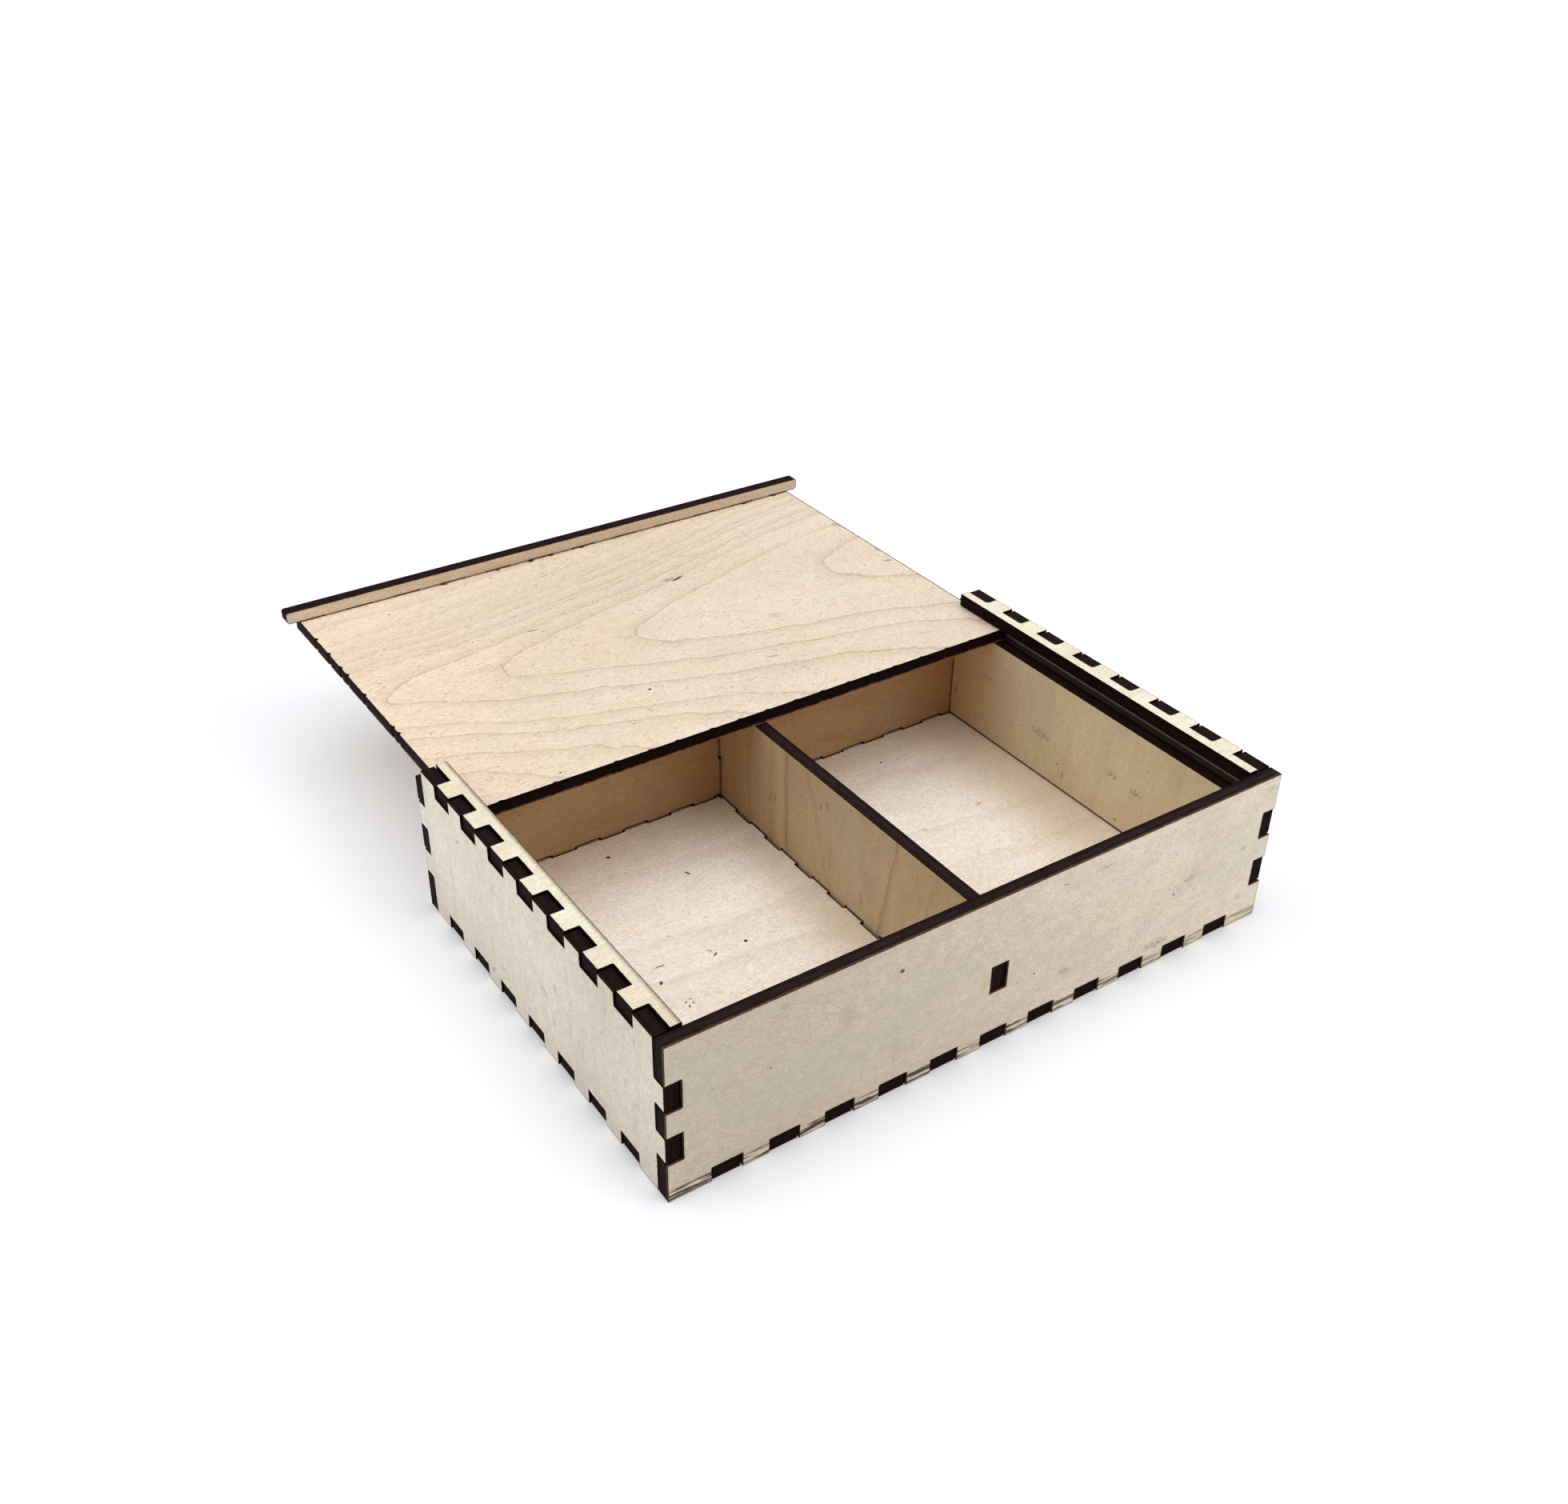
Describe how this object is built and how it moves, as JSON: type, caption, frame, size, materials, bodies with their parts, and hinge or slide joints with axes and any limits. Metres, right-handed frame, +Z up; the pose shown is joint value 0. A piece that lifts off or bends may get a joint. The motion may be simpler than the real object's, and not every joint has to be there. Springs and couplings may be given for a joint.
{
  "type": "sliding lid wooden box",
  "caption": "Flat plywood box with finger joints, two compartments for cards or papers, and a lid that slides out along the short side by a raised lip.",
  "frame": {"origin": "centre of the box's underside, on the surface it stands on", "axes": "+Z up; +X along the long walls; +Y the way the lid slides out, over the lower front wall"},
  "size_m": [0.144, 0.175, 0.036],
  "materials": {
    "floor": "bare birch plywood, charred cut edges",
    "back_wall": "bare birch plywood, charred cut edges",
    "front_wall": "bare birch plywood, charred cut edges",
    "left_end_wall": "bare birch plywood, charred cut edges",
    "right_end_wall": "bare birch plywood, charred cut edges",
    "left_liner": "bare birch plywood, charred cut edges",
    "right_liner": "bare birch plywood, charred cut edges",
    "divider": "bare birch plywood, charred cut edges",
    "left_rail": "bare birch plywood, charred cut edges",
    "right_rail": "bare birch plywood, charred cut edges",
    "lid_plate": "bare birch plywood, charred cut edges",
    "lid_lip": "bare birch plywood, charred cut edges"
  },
  "bodies": {
    "box": {"floor": "floor", "back_wall": "back_wall", "front_wall": "front_wall", "left_end_wall": "left_end_wall", "right_end_wall": "right_end_wall", "left_liner": "left_liner", "right_liner": "right_liner", "divider": "divider", "left_rail": "left_rail", "right_rail": "right_rail"},
    "lid": {"lid_plate": "lid_plate", "lid_lip": "lid_lip"}
  },
  "joints": [
    {"name": "lid_slide", "type": "slide", "parent": "box", "child": "lid", "axis": [0, 1, 0], "range_m": [-0.077, 0.0144]}
  ]
}
